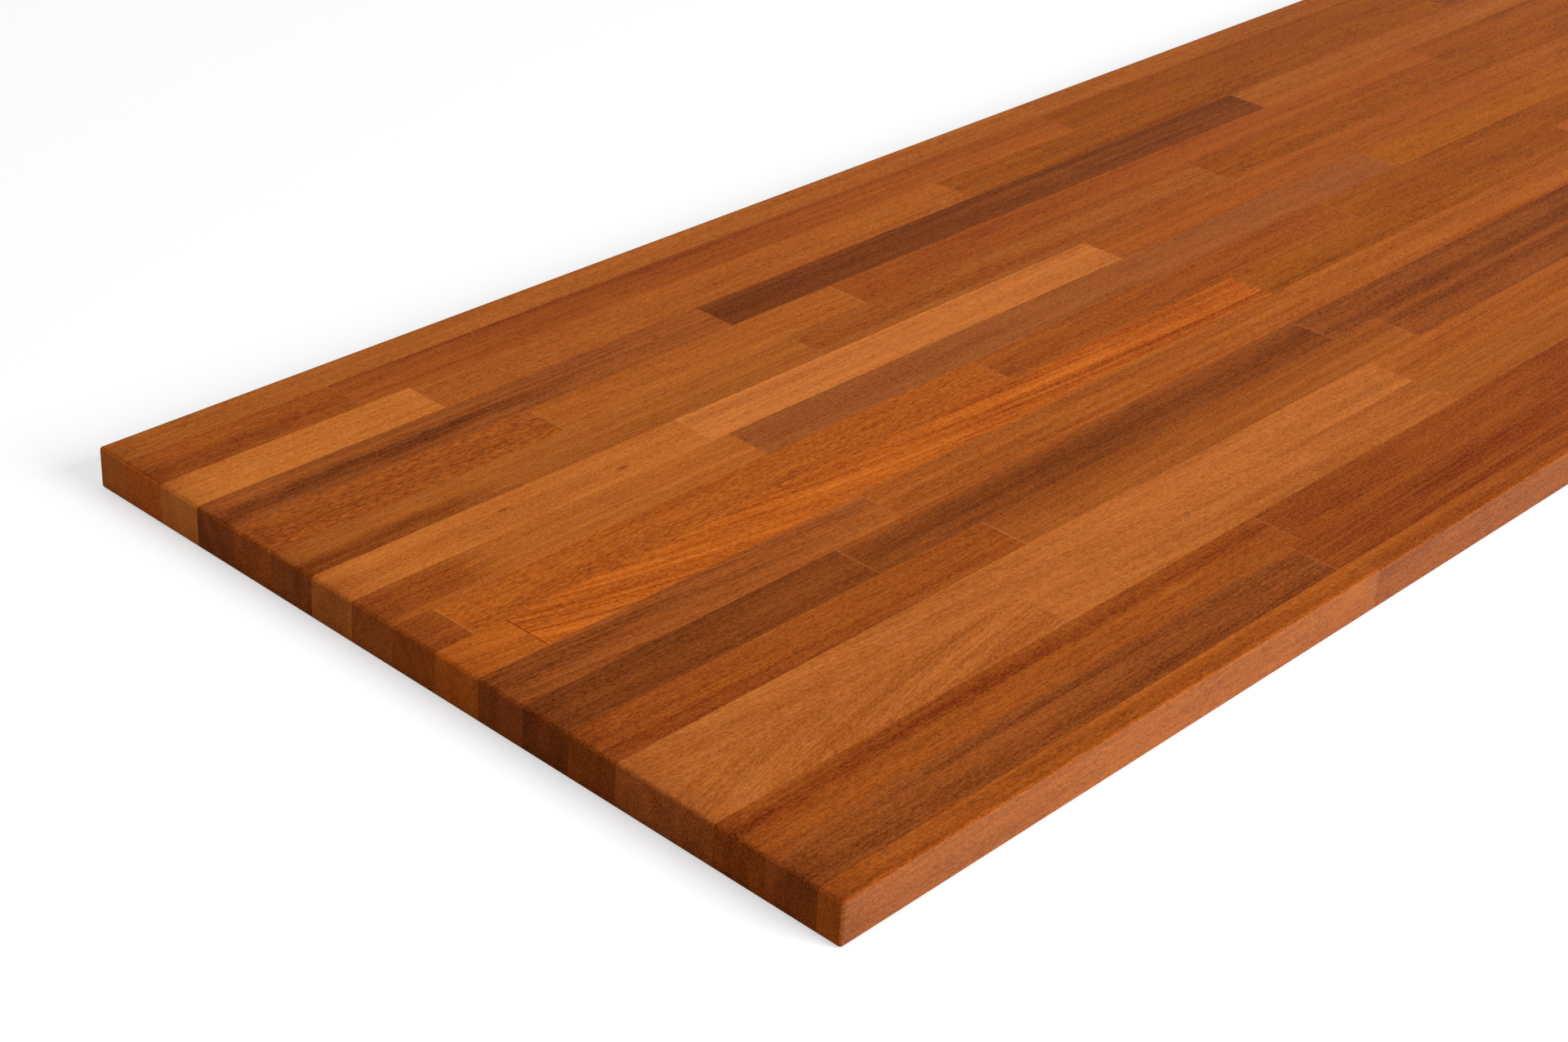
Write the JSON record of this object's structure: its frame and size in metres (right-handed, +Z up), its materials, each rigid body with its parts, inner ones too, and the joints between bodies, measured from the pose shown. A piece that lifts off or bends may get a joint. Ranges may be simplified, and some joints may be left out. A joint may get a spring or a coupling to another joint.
{
  "type": "butcher block countertop",
  "caption": "Wooden countertop slab glued up from rows of short staves, finger jointed end to end, with narrow trimmed strips at both long edges and softly rounded arrises",
  "frame": {"origin": "middle of the underside", "axes": "+X along the board, +Y to the back edge, +Z up through the thickness"},
  "size_m": [2, 0.65, 0.03],
  "materials": {
    "oiled_hardwood": "satin oil"
  },
  "bodies": {
    "root": {"row_01_even_staves": "oiled_hardwood", "row_01_odd_staves": "oiled_hardwood", "row_02_even_staves": "oiled_hardwood", "row_02_odd_staves": "oiled_hardwood", "row_03_even_staves": "oiled_hardwood", "row_03_odd_staves": "oiled_hardwood", "row_04_even_staves": "oiled_hardwood", "row_04_odd_staves": "oiled_hardwood", "row_05_even_staves": "oiled_hardwood", "row_05_odd_staves": "oiled_hardwood", "row_06_even_staves": "oiled_hardwood", "row_06_odd_staves": "oiled_hardwood", "row_07_even_staves": "oiled_hardwood", "row_07_odd_staves": "oiled_hardwood", "row_08_even_staves": "oiled_hardwood", "row_08_odd_staves": "oiled_hardwood", "row_09_even_staves": "oiled_hardwood", "row_09_odd_staves": "oiled_hardwood", "row_10_even_staves": "oiled_hardwood", "row_10_odd_staves": "oiled_hardwood", "row_11_even_staves": "oiled_hardwood", "row_11_odd_staves": "oiled_hardwood", "row_12_even_staves": "oiled_hardwood", "row_12_odd_staves": "oiled_hardwood", "row_13_even_staves": "oiled_hardwood", "row_13_odd_staves": "oiled_hardwood", "row_14_even_staves": "oiled_hardwood", "row_14_odd_staves": "oiled_hardwood", "row_15_even_staves": "oiled_hardwood", "row_15_odd_staves": "oiled_hardwood", "row_16_even_staves": "oiled_hardwood", "row_16_odd_staves": "oiled_hardwood", "row_17_even_staves": "oiled_hardwood", "row_17_odd_staves": "oiled_hardwood", "row_18_even_staves": "oiled_hardwood", "row_18_odd_staves": "oiled_hardwood"}
  },
  "joints": []
}
